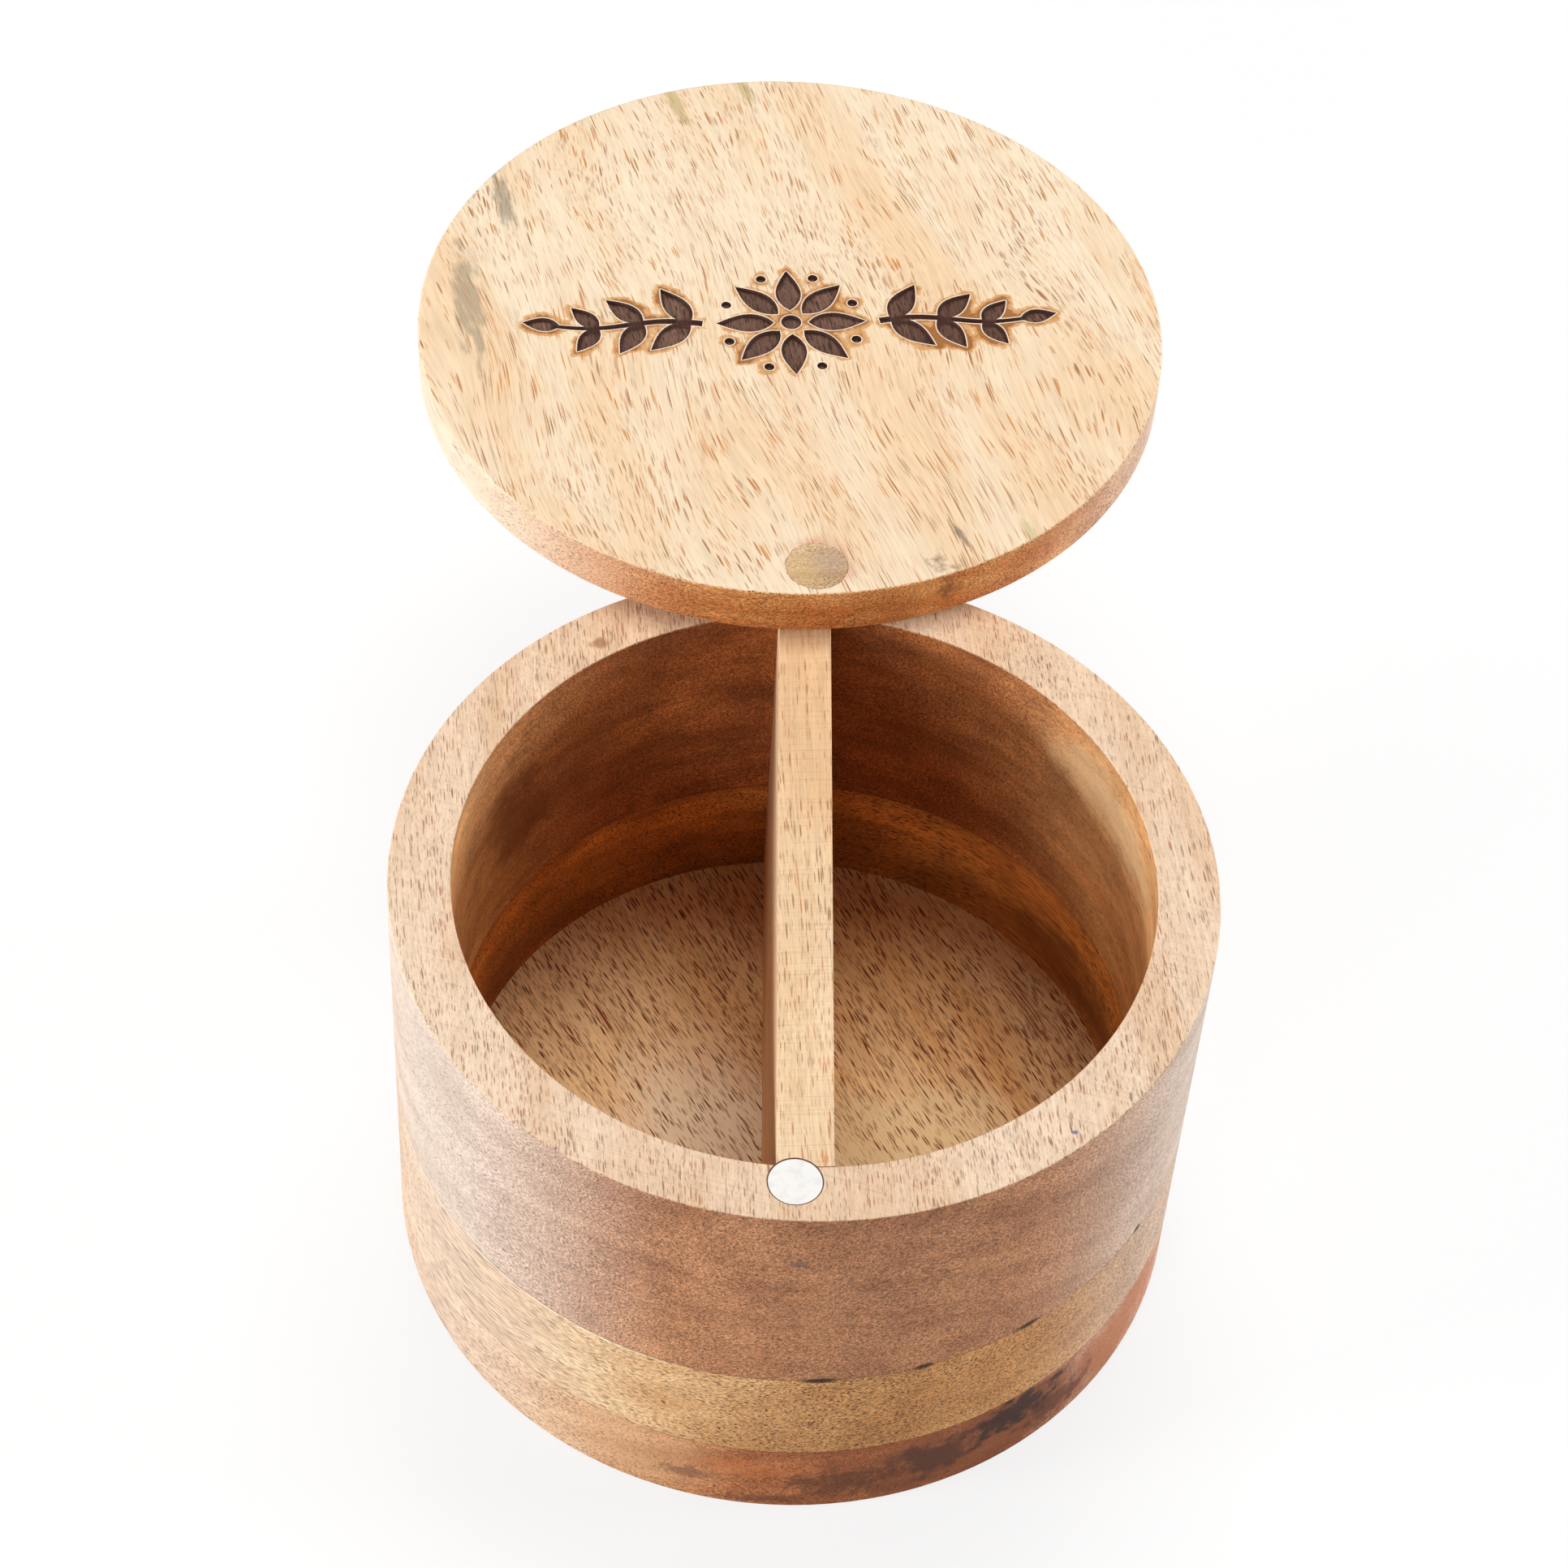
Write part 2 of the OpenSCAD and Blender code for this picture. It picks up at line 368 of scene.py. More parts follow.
    def painted_inner_band(self, height, half, factor):
        """A soft wavy band round the inside, lighter by a factor above 1 as painted highlight and darker by
        one below 1 as painted shade.
        """
        level = self.split(self.place)[2]
        wavy = self.noise(self.place, (30, 30, 4), 2.0, 0.5)
        level = self.math("MULTIPLY_ADD", wavy, self.BAND_WAVE, level)
        off = self.math("ABSOLUTE", self.math("SUBTRACT", level, height + self.BAND_WAVE / 2))
        there = self.math("MULTIPLY", self.step(off, half, 0.3 * half), self.inside)
        self.colour = self.mix(there, self.colour, self.shade(self.colour, factor))

    def seam(self, height, colour):
        """A hairline where two discs meet."""
        level = self.split(self.place)[2]
        off = self.math("ABSOLUTE", self.math("SUBTRACT", level, height))
        line = self.math("MULTIPLY", self.step(off, 0.2, 0.05, 0.0, self.SEAM_SHARE), self.upright)
        self.colour = self.mix(line, self.colour, srgb(*colour))

    def burn(self):
        """How near the engraving a point of the lid's top is, as its mesh says."""
        carried = self.node("ShaderNodeAttribute", attribute_name="burn", attribute_type="GEOMETRY")
        return carried.outputs["Fac"]

    def finished(self, depth=0.05):
        """The material, with fibres and pores as deep as depth in mm."""
        return self.surface(
            Base_Color=self.colour,
            Roughness=self.rough,
            Normal=self.bump(self.height, depth * MM, 0.7),
            Specular_IOR_Level=0.3,
        )


# Colour of the glue line between two discs
GLUE_LINE = (92, 52, 30)
# Chips of finish missing along the upper seam: azimuth in degrees and half length in mm
CHIPS = {-84.8: 4.0, -70.3: 2.3, -54.1: 3.2, -31.2: 1.5}
CHIP_HALF_HEIGHT = 0.9


def chipped_seam(wood):
    """The upper seam's hairline with its dark chips."""
    wood.seam(SEAM_Z, GLUE_LINE)
    for azimuth, half in CHIPS.items():
        a = math.radians(azimuth)
        at = (BODY_R * math.cos(a), BODY_R * math.sin(a), SEAM_Z)
        wood.spot(at, (half, CHIP_HALF_HEIGHT), azimuth + 90, (46, 24, 18), 0.95, 0.35)


# The lid and the floor of its engraving are one piece of wood
LID_GRAIN = dict(angle=-71, tilt=2, seed=3, pith=(12, -70), pitch=9, sway=(18, 3))


def lid_wood():
    wood = Wood(
        "lid_wood", **LID_GRAIN, bands=(0.38, 0.62), flat=0.6,
        face=((245, 224, 194), (240, 207, 168)), end=((225, 158, 93), (198, 121, 62)),
        pore_colours=((186, 118, 56), (84, 34, 16)), pore=(9.0, 0.32, 0.6), fine=(5.0, 0.2, 0.55),
        pore_shares=(0.9, 0.98), fine_shares=(0.6, 0.85), thread_shares=(0.4, 2.6),
    )
    # Painted sheen on the outside left and right
    wood.painted_sheen((226, 206, 190), 0.5)
    top = LID_TOP / MM
    # Grey and yellow-green stains near the edge
    wood.spot((-56.3, 140.2, top), (11, 1.9), -76, (120, 112, 98), 0.6, 1.0)
    wood.spot((-59.8, 113.3, top), (16, 3.0), -79, (146, 134, 112), 0.6, 1.2)
    wood.spot((-27.7, 167.7, top), (8, 1.6), -66, (176, 156, 92), 0.6, 0.8)
    wood.spot((-15.9, 173.1, top), (6, 1.6), -66, (176, 156, 92), 0.6, 0.8)
    wood.spot((23.2, 64.9, top), (4.5, 0.8), -62, (104, 92, 84), 0.7, 0.7)
    wood.spot((20.5, 58.5, top - 3), (4, 4), -60, (104, 66, 40), 0.7, 0.9)
    wood.spot((34.4, 66.6, top), (4.0, 1.2), -60, (190, 180, 120), 0.5, 0.7)
    # A pale and a brown fleck, and redder wood round the plug
    wood.spot((2.0, 52.5, top), (1.6, 0.8), 20, (236, 206, 176), 0.7)
    wood.spot((-6.0, 112.7, top), (0.9, 0.9), 0, (150, 108, 80), 0.8)
    wood.spot((0.8, 57.4, top), (7.2, 7.2), 0, (214, 150, 120), 0.7, 0.4)
    return wood


# Rings of the scorched fringe, outer ring first: where it starts and is full, its share and its colour
SCORCHES = ((0.4, 0.65, 0.8, (208, 146, 78)), (0.7, 0.95, 0.85, (150, 90, 42)))


def scorched(wood):
    """Adds the scorched fringe round the engraving and the pale line along its edge."""
    burn = wood.burn()
    uneven = wood.noise(wood.place, (3.0, 3.0, 3.0), 3.0, 0.65)
    strong = wood.noise(wood.place, (14, 14, 14), 1.0)
    reach = wood.math("MULTIPLY_ADD", wood.math("SUBTRACT", uneven, 0.5), 1.6, burn)
    reach = wood.math("MULTIPLY_ADD", wood.math("SUBTRACT", strong, 0.5), 1.4, reach)
    near = wood.step(burn, 0.0, 0.3)
    for start, full, share, colour in SCORCHES:
        reached = wood.math("MULTIPLY", wood.step(reach, start, full, 0.0, share), near)
        wood.colour = wood.mix(reached, wood.colour, srgb(*colour))
    wood.colour = wood.mix(wood.step(burn, 0.87, 0.93, 0.0, 0.75), wood.colour, srgb(255, 238, 214))
    return wood


def burnt_wood():
    """The floor of the engraving: the lid's wood burnt dark, with the grain still showing."""
    wood = Wood(
        "burnt_wood", **LID_GRAIN,
        face=((132, 100, 84), (92, 62, 50)), end=((92, 56, 40), (72, 42, 30)),
        pore_colours=((36, 18, 12), (36, 18, 12)), pore=(2.6, 0.3, 1.0), fine=(1.3, 0.2, 1.1),
        pore_shares=(0.85, 0.85), fine_shares=(0.8, 0.8), thread_shares=(1.5, 1.5),
    )
    uneven = wood.noise(wood.place, (1.6, 1.6, 1.6), 3.0, 0.65)
    edge = wood.step(wood.math("MULTIPLY_ADD", uneven, -1.4, wood.burn()), 1.2, 0.4, 0.0, 0.9)
    wood.colour = wood.mix(edge, wood.colour, srgb(54, 26, 17))
    wood.colour = wood.mix(wood.math("MULTIPLY", wood.upright, 0.75), wood.colour, srgb(58, 32, 20))
    return wood.finished(0.12)


def upper_wood():
    wood = Wood(
        "upper_wood", angle=-83, tilt=4, seed=5, pith=(-14, -60), pitch=7,
        face=((242, 216, 189), (227, 191, 156)), end=((188, 132, 92), (152, 100, 66)),
        pore_colours=((152, 84, 44), (80, 44, 28)), pore=(3.4, 0.3, 0.8), fine=(1.7, 0.2, 0.8),
        pore_shares=(0.72, 0.7), fine_shares=(0.5, 0.7), thread_shares=(0.5, 3.2), flat=0.75,
    )
    # Painted shade on the inside, with its blotches and marks
    wood.inner_wall()
    # Painted sheen on the outside left and right
    wood.painted_sheen((206, 190, 178), 0.8)
    wood.sanded(-14, 0.03)
    wood.sanded(52, 0.02)
    # Two blue-grey flecks and a knot on the rim, and a grey spot high on the front
    wood.spot((40.4, -45.6, RIM_Z), (0.7, 0.5), 20, (80, 84, 150), 0.8)
    wood.spot((-34.7, -52.9, RIM_Z), (0.6, 0.4), 20, (80, 84, 150), 0.6)
    wood.spot((-34.0, 45.6, RIM_Z), (2.0, 1.6), 20, (150, 92, 54), 0.7)
    wood.spot((1.1, -63.5, 68.5), (2.0, 1.2), 0, (96, 74, 66), 0.6)
    # Painted shade in a darker place and a painted highlight in a paler place on the inside
    wood.spot((-46, 28, 56), (24, 12), -35, (120, 66, 36), 0.6, 0.8, wood.inside)
    wood.spot((48, 24, 70), (26, 8), 110, (248, 220, 170), 0.5, 0.6, wood.inside)
    chipped_seam(wood)
    return wood.finished()


def divider_wood():
    wood = Wood(
        "divider_wood", angle=-86, tilt=1, seed=7, pith=(3, -120), pitch=8,
        face=((242, 212, 174), (228, 186, 140)), end=((190, 140, 100), (170, 118, 80)),
        pore_colours=((178, 108, 60), (120, 74, 46)), pore=(3.6, 0.3, 0.66), fine=(1.8, 0.2, 0.6),
    )
    wood.sanded(6, 0.035)
    wood.seam(BASE_TOP, GLUE_LINE)
    return wood.finished()


def middle_wood():
    wood = Wood(
        "middle_wood", angle=-50, tilt=1, seed=11, pith=(8, -90), pitch=8,
        face=((238, 208, 162), (216, 174, 122)), end=((212, 158, 98), (188, 132, 78)),
        pore_colours=((130, 74, 40), (88, 46, 26)), pore=(3.0, 0.62, 0.85), fine=(1.8, 0.4, 0.7),
        pore_shares=(0.85, 0.95), fine_shares=(0.55, 0.8), thread_shares=(1.8, 2.6),
        flat=0.5, streak=(30, 0.5, 0.5),
    )
    # Painted shade on the inside, with its blotches and marks
    wood.inner_wall()
    # Painted highlight in a band under the upper seam
    wood.painted_inner_band(SEAM_Z - 4, 4, 1.35)
    # Painted shade in a band low in the hollow, above the floor
    wood.painted_inner_band(BASE_TOP + 4, 7, 0.75)
    # Painted sheen on the outside left and right
    wood.painted_sheen((216, 192, 172), 0.85)
    # Painted shade in a darker place on the inside
    wood.spot((47, 26, 24), (22, 8), 120, (120, 68, 38), 0.5, 0.8, wood.inside)
    # Painted highlight along the middle ring's top edge, just under the upper seam
    wood.painted_arris_highlight(SEAM_Z, 0.35)
    chipped_seam(wood)
    wood.seam(BASE_TOP, GLUE_LINE)
    return wood.finished()


# The dark figure low on the base's front: place, half size, turn, colour and share
BASE_FIGURE = (
    ((31, -55, 8), (32, 13), 30, (122, 70, 44), 0.7),
    ((53, -33, 8), (20, 12), 58, (172, 100, 60), 0.55),
    ((37.4, -51.3, 12), (11, 6), 36, (46, 29, 27), 0.92),
    ((24.6, -58.5, 9), (11, 6), 23, (66, 40, 31), 0.75),
    ((10.5, -62.4, 7), (11, 4.5), 12, (84, 50, 35), 0.7),
    ((44.3, -45.5, 6.5), (10, 5), 44, (76, 46, 36), 0.7),
    ((-1.5, -63.5, 2.5), (12, 1.6), 0, (90, 54, 38), 0.6),
    ((-14, -62, 7), (5, 2.4), -10, (90, 54, 40), 0.5),
    ((-4, -63, 11), (12, 3), 0, (206, 120, 66), 0.4),
)


def base_wood():
    wood = Wood(
        "base_wood", angle=-59, tilt=2, seed=13, pith=(-20, -50), pitch=7,
        face=((246, 207, 154), (223, 167, 107)), end=((197, 122, 74), (158, 90, 50)),
        pore_colours=((112, 40, 22), (78, 42, 26)), pore=(3.2, 0.32, 1.25), fine=(2.0, 0.2, 1.1),
        pore_shares=(1.0, 0.8), fine_shares=(0.75, 0.7), thread_shares=(0.8, 2.2), streak=(26, 0.26, 0.16),
    )
    # Painted sheen on the outside left and right
    wood.painted_sheen((222, 198, 178), 0.85)
    # Paler wood left of the front's middle
    wood.spot((-21, -60, 10), (16, 12), -18, (228, 184, 142), 0.3, 0.5)
    # Painted light: paler floor between the pores, beside the divider
    wood.spot((-9, -6, BASE_TOP), (30, 20), -59, (243, 222, 191), 0.75, 0.5, wood.plain)
    wood.spot((18, -3, BASE_TOP), (26, 13), 10, (236, 214, 164), 0.6, 0.5, wood.plain)
    # Orange wood on the right
    wood.spot((57, -28, 8), (22, 14), 64, (206, 126, 76), 0.5)
    for at, size, turn, colour, share in BASE_FIGURE:
        wood.spot(at, size, turn, colour, share, 1.1)
    wood.seam(BASE_TOP, GLUE_LINE)
    return wood.finished()


def plug_wood():
    """End grain of a darker dowel."""
    wood = Wood(
        "plug_wood", angle=20, tilt=84, seed=17, pith=(4, 3), pitch=2.2,
        face=((214, 178, 134), (186, 146, 102)), end=((221, 188, 148), (190, 154, 114)),
        pore_colours=((120, 82, 52), (110, 76, 50)), pore=(3, 0.3, 0.58), fine=(2, 0.2, 0.58),
    )
    # A khaki and a grey half
    wood.spot((-1.8, 55.6), (4.8, 3.8), 0, (216, 180, 128), 0.45, 0.6)
    wood.spot((2.2, 57.4), (4.4, 3.8), 30, (178, 152, 132), 0.5, 0.6)
    return wood.finished()


def metal(name, tone, roughness, turn):
    """Plated metal with faint marks of use, which run at an angle of turn in degrees."""
    shader = Shader(name)
    place = shader.turned(shader.node("ShaderNodeTexCoord").outputs["Object"], 0, 0, turn)
    marks = shader.noise(place, (4 * MM, 0.15 * MM, 4 * MM), 3.0, 0.6)
    smudge = shader.noise(place, (2 * MM, 2 * MM, 2 * MM), 3.0, 0.6)
    colour = shader.shade(srgb(*tone), shader.step(smudge, 0.3, 0.55, 0.9, 1.0))
    rough = shader.step(marks, 0.25, 0.75, roughness * 0.8, roughness * 1.25)
    normal = shader.bump(marks, 0.01 * MM, 0.5)
    return shader.surface(Base_Color=colour, Metallic=1.0, Roughness=rough, Normal=normal)


def glue(name, dark, light):
    """Dried glue in a narrow gap, with the dust of sanding in it."""
    shader = Shader(name)
    lumps = shader.noise(shader.node("ShaderNodeTexCoord").outputs["Object"], (MM, MM, MM), 3.0, 0.6)
    colour = shader.mix(shader.step(lumps, 0.35, 0.65), srgb(*dark), srgb(*light))
    return shader.surface(Base_Color=colour, Roughness=0.35, Normal=shader.bump(lumps, 0.05 * MM, 1.0))


MATERIALS = {
    "base_wood": base_wood(),
    "middle_wood": middle_wood(),
    "upper_wood": upper_wood(),
    "divider_wood": divider_wood(),
    "plug_wood": plug_wood(),
    "lid_wood": scorched(lid_wood()).finished(),
    "burnt_wood": burnt_wood(),
    "magnet_nickel": metal("magnet_nickel", (250, 247, 243), 0.3, 35),
    "screw_steel": metal("screw_steel", (176, 176, 178), 0.35, 0),
    "glue": glue("glue", (70, 44, 28), (110, 76, 50)),
    "filler": glue("filler", (206, 158, 112), (232, 196, 152)),
}

for part in frame["record"]["subparts"]:
    mesh = NODES[part["node"]].data
    mesh.materials.clear()
    mesh.materials.append(MATERIALS[part["material_slot"]])


# The engraving on the lid: a rosette between two leafy sprigs, in mm about the lid's centre
ENGRAVING_DEPTH = 0.6
# Width of the scorched fringe, and the distances of the loops of points beside each outline
FRINGE = 2.2
FRINGE_LOOPS = (0.1, 0.4, 0.9, 1.5, FRINGE)
INNER_LOOPS = (-0.25, -0.6, -1.0)
# Steps along one side of a leaf and round a disc
OUTLINE_STEPS = 12
DISC_STEPS = 24
# Sizes are lengths and widths; starts and places are distances from the rosette's centre
PETALS = 8
PETAL_START = 2.9
PETAL = (9.8, 4.3)
EYE_R = 1.7
BEAD_R = 0.85
BEAD_PLACE = 11.6
SPRIG_START = 15.0
SPRIG_END = 40.0
SPRIG_WAVE = 0.7
STEM_WIDTHS = (1.4, 0.8)
# Shares of the stem's length at which pairs of leaves sit, and the leaves' angle to it in degrees
LEAF_PLACES = (0.08, 0.4, 0.7)
LEAF_SPREAD = 52
LEAF_SIZES = ((9.6, 4.3), (8.4, 3.9), (6.8, 3.3))
TIP_LEAF = (6.4, 3.2)
TIP_OVERLAP = 1


def leaf(length, width):
    """A pointed leaf from the origin along +X, widest before its middle."""
    shares = [i / OUTLINE_STEPS for i in range(OUTLINE_STEPS + 1)]
    lower = [(length * t, -width / 2 * math.sin(math.pi * t**0.8)) for t in shares]
    upper = [(x, -y) for x, y in reversed(lower[1:-1])]
    return lower + upper


def placed(points, x, y, degrees):
    """The outline turned about the origin and then moved to x and y."""
    c, s = math.cos(math.radians(degrees)), math.sin(math.radians(degrees))
    return [(x + c * px - s * py, y + s * px + c * py) for px, py in points]


def disc(radius):
    """A round outline about the origin."""
    turns = [2 * math.pi * i / DISC_STEPS for i in range(DISC_STEPS)]
    return [(radius * math.cos(a), radius * math.sin(a)) for a in turns]


def sprig_line(t):
    """A point of the sprig's stem and its direction in degrees, for t from 0 to 1."""
    span = SPRIG_END - SPRIG_START
    slope = SPRIG_WAVE * 2 * math.pi / span * math.cos(2 * math.pi * t)
    return SPRIG_START + span * t, SPRIG_WAVE * math.sin(2 * math.pi * t), math.degrees(math.atan(slope))


def stem():
    """The stem's outline, which narrows towards its tip."""
    below, above = [], []
    for i in range(2 * OUTLINE_STEPS + 1):
        t = i / (2 * OUTLINE_STEPS)
        x, y, degrees = sprig_line(t)
        half = (STEM_WIDTHS[0] + (STEM_WIDTHS[1] - STEM_WIDTHS[0]) * t) / 2
        low, high = placed([(0, -half), (0, half)], x, y, degrees)
        below.append(low)
        above.append(high)
    return below + above[::-1]


def sprig():
    """The outlines of the right-hand sprig."""
    shapes = [stem()]
    for t, size in zip(LEAF_PLACES, LEAF_SIZES):
        x, y, degrees = sprig_line(t)
        for side in (-1, 1):
            shapes.append(placed(leaf(*size), x, y, degrees + side * LEAF_SPREAD))
    x, y, degrees = sprig_line(1.0)
    shapes.append(placed(leaf(*TIP_LEAF), x - TIP_OVERLAP, y, degrees))
    return shapes


def ornament():
    """All outlines, each counter-clockwise."""
    shapes = [disc(EYE_R)]
    for i in range(PETALS):
        turn = 360 / PETALS * i
        shapes.append(placed(placed(leaf(*PETAL), PETAL_START, 0, 0), 0, 0, turn))
        shapes.append(placed(placed(disc(BEAD_R), BEAD_PLACE, 0, 0), 0, 0, turn + 180 / PETALS))
    for shape in sprig():
        shapes.append(shape)
        shapes.append([(-x, y) for x, y in reversed(shape)])
    return shapes


def grown(points, distance):
    """The outline pushed outwards by a distance."""
    made = []
    for before, here, after in zip(points[-1:] + points[:-1], points, points[1:] + points[:1]):
        run = Vector(after) - Vector(before)
        out = Vector((run.y, -run.x)).normalized()
        made.append((here[0] + out.x * distance, here[1] + out.y * distance))
    return made


def distance_to(shapes, points):
    """The distance of each point to the nearest outline."""
    starts = np.array([p for shape in shapes for p in shape])
    ends = np.array([p for shape in shapes for p in shape[1:] + shape[:1]])
    runs = ends - starts
    nearest = []
    for point in np.array(points):
        share = np.clip(((point - starts) * runs).sum(1) / (runs**2).sum(1), 0, 1)
        nearest.append(np.hypot(*(point - starts - share[:, None] * runs).T).min())
    return nearest


# Vertices nearer than this are one, and faces this near the lid's top belong to its top face
WELD = 0.0005 * MM
TOP_SLACK = 0.001 * MM
# Points of the new top nearer than this, in mm, are one
CUT_TOLERANCE = 1e-4
# Edges sharper than this are shaded as edges
SHARP_ANGLE = math.radians(25)


def open_top(built):
    """Takes the flat face off the lid's mesh and returns the edges round the opening."""
    bmesh.ops.remove_doubles(built, verts=built.verts, dist=WELD)
    flat = [f for f in built.faces if all(v.co.z > LID_TOP - TOP_SLACK for v in f.verts)]
    bmesh.ops.delete(built, geom=flat, context="FACES")
    border = [e for e in built.edges if e.is_boundary]
    for edge in border:
        edge.smooth = False
    return border


def cut_face(kept, border, shapes):
    """The top face in triangles along the shapes' outlines and the loops beside them, in mm.

    Returns the points, the triangles, the given points that each point stands for and, for each triangle,
    the loops that it lies in, of which the first are the shapes.
    """
    order = {v: i for i, v in enumerate(kept)}
    points = [(v.co.x / MM, v.co.y / MM) for v in kept]
    edges = [(order[e.verts[0]], order[e.verts[1]]) for e in border]
    faces = []
    for loop in shapes + [grown(shape, d) for d in FRINGE_LOOPS + INNER_LOOPS for shape in shapes]:
        faces.append(list(range(len(points), len(points) + len(loop))))
        points += loop
    found = delaunay_2d_cdt([Vector(p) for p in points], edges, faces, 0, CUT_TOLERANCE)
    spots, _, triangles, sources, _, owners = found
    return spots, triangles, sources, owners


def shade_smooth(built):
    """Shades all faces as curved and keeps the sharp edges."""
    for face in built.faces:
        face.smooth = True
    for edge in built.edges:
        if edge.is_manifold and edge.calc_face_angle() > SHARP_ANGLE:
            edge.smooth = False


def put_in_scene(name, data):
    made = bpy.data.objects.new(name, data)
    bpy.context.scene.collection.objects.link(made)
    return made


def piece(name, built, *slots):
    """A piece made from a finished mesh, with its materials in order."""
    mesh = bpy.data.meshes.new(name)
    built.to_mesh(mesh)
    built.free()
    for slot in slots:
        mesh.materials.append(MATERIALS[slot])
    return put_in_scene(name, mesh)


def engraved_lid():
    """The CAD lid with a new top face, in which the ornament is sunk."""
    built = bmesh.new()
    built.from_mesh(NODES["lid"].data)
    burn = built.verts.layers.float.new("burn")
    border = open_top(built)
    kept = sorted({v for e in border for v in e.verts}, key=lambda v: (v.co.x, v.co.y))
    turn = math.degrees(LID_TURN)
    centre_mm = LID_CENTRE / MM
    shapes = [placed(shape, centre_mm.x, centre_mm.y, turn) for shape in ornament()]
    spots, triangles, sources, owners = cut_face(kept, border, shapes)
    distances = distance_to(shapes, [tuple(p) for p in spots])

    # burn grows from 0 at the fringe's outer edge to 1 at the outline, and goes on growing inside it
    tops = []
    for spot, origin, away in zip(spots, sources, distances):
        old = [i for i in origin if i < len(kept)]
        top = kept[old[0]] if old else built.verts.new((spot.x * MM, spot.y * MM, LID_TOP))
        top[burn] = max(0.0, 1 - away / FRINGE)
        tops.append(top)
    floors = {}

    def floor_of(i):
        """The vertex below a top one, on the engraving's floor."""
        if i not in floors:
            floors[i] = built.verts.new(tops[i].co - Vector((0, 0, ENGRAVING_DEPTH * MM)))
            floors[i][burn] = 1.0 + distances[i]
        return floors[i]

    sunk_edges, flat_edges = [], set()
    for triangle, owner in zip(triangles, owners):
        centre = sum((spots[i] for i in triangle), Vector((0, 0))) / 3
        if (centre * MM - PLUG.xy).length < PLUG_R:
            continue
        sides = list(zip(triangle, triangle[1:] + triangle[:1]))
        if any(i < len(shapes) for i in owner):
            built.faces.new([floor_of(i) for i in triangle]).material_index = 1
            sunk_edges += sides
        else:
            built.faces.new([tops[i] for i in triangle])
            flat_edges.update(sides)
    for a, b in sunk_edges:
        if (b, a) in flat_edges:
            built.faces.new((tops[a], tops[b], floor_of(b), floor_of(a))).material_index = 1

    shade_smooth(built)
    lid = piece("engraved_lid", built, "lid_wood", "burnt_wood")
    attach(lid, "lid")
    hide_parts("lid")


# Beads of glue: facets round each, how far the face stands above the glue and above rubbed filler, and depth
GLUE_STEPS = 64
GLUE_SINK = 0.06 * MM
RUBBED_SINK = 0.01 * MM
GLUE_DEPTH = 0.5 * MM
# Widths in mm of the gaps that they fill
PLUG_GAP = 0.1
MAGNET_GAP = 0.15
DIVIDER_GAP = 0.05
# The divider's ends: azimuth in degrees at which the filler starts, and its sweep to the other side
DIVIDER_ENDS = {"front": (-86.7, 2.6), "back": (87.1, 8.8)}


def glue_bead(name, body, centre, radii, face_z, side=1, sink=GLUE_SINK, start=0, sweep=360, slot="glue"):
    """A bead of glue just under a face, in the narrow gap between two radii.

    side is 1 under a face that looks up and -1 over one that looks down. start and sweep are in degrees.
    """
    built = bmesh.new()
    near = face_z - side * sink
    far = face_z - side * GLUE_DEPTH
    whole = sweep == 360
    places = GLUE_STEPS if whole else GLUE_STEPS + 1
    turns = [math.radians(start + sweep * i / GLUE_STEPS) for i in range(places)]
    loops = []
    for radius, z in ((radii[0], far), (radii[0], near), (radii[1], near), (radii[1], far)):
        spots = [(centre.x + radius * math.cos(a), centre.y + radius * math.sin(a), z) for a in turns]
        loops.append([built.verts.new(spot) for spot in spots])
    for first, second in zip(loops, loops[1:] + loops[:1]):
        for i in range(GLUE_STEPS):
            j = (i + 1) % places
            built.faces.new((first[i], first[j], second[j], second[i]))
    if not whole:
        for end in (0, -1):
            built.faces.new([loop[end] for loop in loops])
    bmesh.ops.recalc_face_normals(built, faces=built.faces)
    bead = piece(name, built, slot)
    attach(bead, body)


# Half size of the floor in m. To the camera the floor shows its own even white: this share of it near the
# box, growing to all of it between two distances in m
FLOOR_HALF = 12.0
FLOOR_GLOW = 0.8
GLOW_GROWS = (0.3, 1.0)


def make_floor():
    """A plain pale floor that the box stands on."""
    half = FLOOR_HALF
    corners = [(-half, -half, 0), (half, -half, 0), (half, half, 0), (-half, half, 0)]
    mesh = bpy.data.meshes.new("floor")
    mesh.from_pydata(corners, [], [(0, 1, 2, 3)])
    floor = put_in_scene("floor", mesh)
    shader = Shader("floor")
    paint = shader.node("ShaderNodeBsdfDiffuse")
    paint.inputs["Color"].default_value = srgb(250, 250, 250)
    glow = shader.node("ShaderNodeEmission")
    seen = shader.node("ShaderNodeLightPath").outputs["Is Camera Ray"]
    away = shader.vector("LENGTH", shader.node("ShaderNodeTexCoord").outputs["Object"])
    share = shader.math("MULTIPLY", seen, shader.step(away, *GLOW_GROWS, FLOOR_GLOW, 1.0))
    blend = shader.node("ShaderNodeMixShader")
    for socket, value in zip(blend.inputs, (share, paint.outputs[0], glow.outputs[0])):
        shader.feed(socket, value)
    shader.feed(shader.output.inputs["Surface"], blend.outputs[0])
    mesh.materials.append(shader.material)


# Strength of the world's light on rough surfaces, where 1 is white
AMBIENT = 0.15


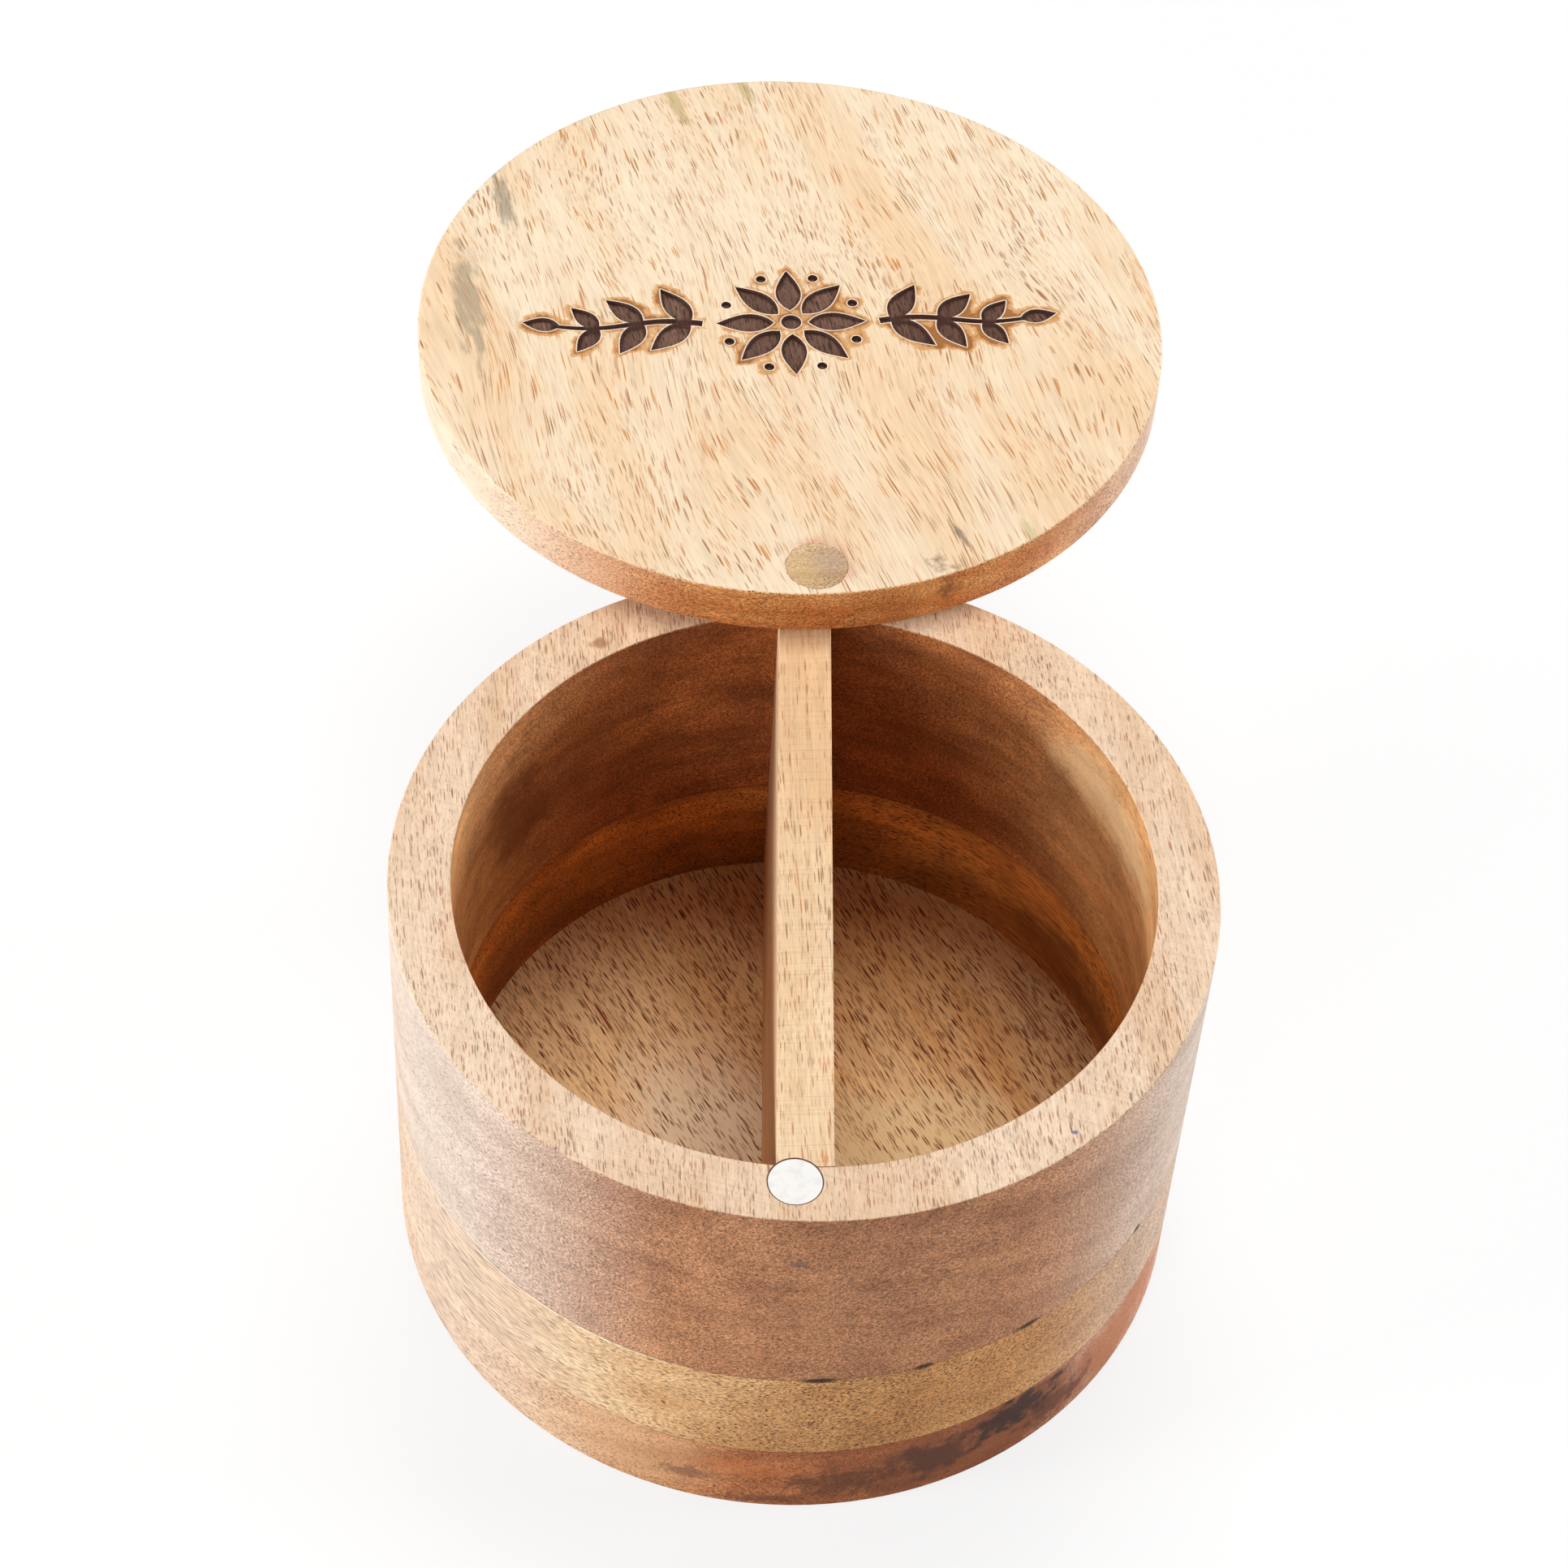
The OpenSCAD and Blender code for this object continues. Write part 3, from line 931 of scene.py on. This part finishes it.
def make_world():
    """White where it is seen or mirrored, and a softer light elsewhere."""
    world = bpy.data.worlds.new("world")
    world.use_nodes = True
    tree = world.node_tree
    tree.nodes.clear()
    path = tree.nodes.new("ShaderNodeLightPath")
    strength = None
    for ray in ("Is Camera Ray", "Is Glossy Ray", "Is Transmission Ray"):
        most = tree.nodes.new("ShaderNodeMath")
        most.operation = "MAXIMUM"
        tree.links.new(path.outputs[ray], most.inputs[0])
        if strength is None:
            most.inputs[1].default_value = AMBIENT
        else:
            tree.links.new(strength, most.inputs[1])
        strength = most.outputs[0]
    background = tree.nodes.new("ShaderNodeBackground")
    background.inputs["Color"].default_value = (1, 1, 1, 1)
    tree.links.new(strength, background.inputs["Strength"])
    output = tree.nodes.new("ShaderNodeOutputWorld")
    tree.links.new(background.outputs[0], output.inputs["Surface"])
    bpy.context.scene.world = world


def direction(azimuth, elevation):
    """A unit vector; azimuth 0 is in front and 90 to the right, in degrees."""
    a, e = math.radians(azimuth), math.radians(elevation)
    return Vector((math.sin(a) * math.cos(e), -math.cos(a) * math.cos(e), math.sin(e)))


# Angles in degrees; distance from the axis of the box at its rim, and side, in m; power in W
LAMPS = {
    "lamp_top": dict(azimuth=174, elevation=68, distance=1.4, side=0.7, power=13.0, mirrored=False),
    "lamp_left": dict(azimuth=-72, elevation=13, distance=1.3, side=0.35, power=11),
    "lamp_right": dict(azimuth=94, elevation=12, distance=1.4, side=0.4, power=10.5),
    "lamp_front": dict(azimuth=-25, elevation=22, distance=1.5, side=0.4, power=5.2),
}


def make_lamp(name, azimuth, elevation, distance, side, power, mirrored=True):
    """A square lamp that faces the axis of the box at its rim."""
    light = bpy.data.lights.new(name, "AREA")
    light.shape = "SQUARE"
    light.size = side
    light.energy = power
    lamp = put_in_scene(name, light)
    lamp.visible_glossy = mirrored
    away = direction(azimuth, elevation)
    lamp.location = Vector((0, 0, RIM_MAGNET.z)) + away * distance
    lamp.rotation_euler = away.to_track_quat("Z", "Y").to_euler()


# The camera stands where the photograph was taken. Sensor and lens are in mm, angles in degrees
SENSOR = 36.0
LENS = 93.07
CAMERA_DISTANCE = 683.6 * MM
CAMERA_PITCH = 49.55
CAMERA_ROLL = 3.74
CAMERA_AZIMUTH = -1.21
CAMERA_AIM = Vector((-3.01, 53.24, 38.1)) * MM
# Nearest and farthest distance seen, in m
CAMERA_REACH = (0.01, 50)


def make_camera():
    data = bpy.data.cameras.new("camera")
    data.sensor_width = SENSOR
    data.lens = LENS
    data.clip_start, data.clip_end = CAMERA_REACH
    camera = put_in_scene("camera", data)
    back = direction(CAMERA_AZIMUTH, CAMERA_PITCH)
    right = (-back).cross(Vector((0, 0, 1))).normalized()
    up = right.cross(-back)
    roll = math.radians(CAMERA_ROLL)
    image_right = right * math.cos(roll) + up * math.sin(roll)
    image_up = up * math.cos(roll) - right * math.sin(roll)
    rotation = Matrix((image_right, image_up, back)).transposed()
    camera.matrix_world = Matrix.Translation(CAMERA_AIM + back * CAMERA_DISTANCE) @ rotation.to_4x4()
    bpy.context.scene.camera = camera


make_camera()
engraved_lid()
magnet_ring = (MAGNET_R, MAGNET_R + MAGNET_GAP * MM)
divider_arc = (HOLLOW_R * MM, (HOLLOW_R + DIVIDER_GAP) * MM)
glue_bead("plug_glue", "lid", PLUG, (PLUG_R, PLUG_R + PLUG_GAP * MM), LID_TOP)
glue_bead("lid_magnet_glue", "lid", LID_MAGNET, magnet_ring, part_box("lid")[0][2], -1)
glue_bead("rim_magnet_glue", "box", RIM_MAGNET, magnet_ring, RIM_Z * MM)
for end, (start, sweep) in DIVIDER_ENDS.items():
    name = f"divider_{end}_glue"
    glue_bead(name, "box", Vector(), divider_arc, RIM_Z * MM, 1, RUBBED_SINK, start, sweep, "filler")
make_floor()
make_world()
for lamp_name, settings in LAMPS.items():
    make_lamp(lamp_name, **settings)
bpy.context.scene.view_settings.view_transform = "Standard"
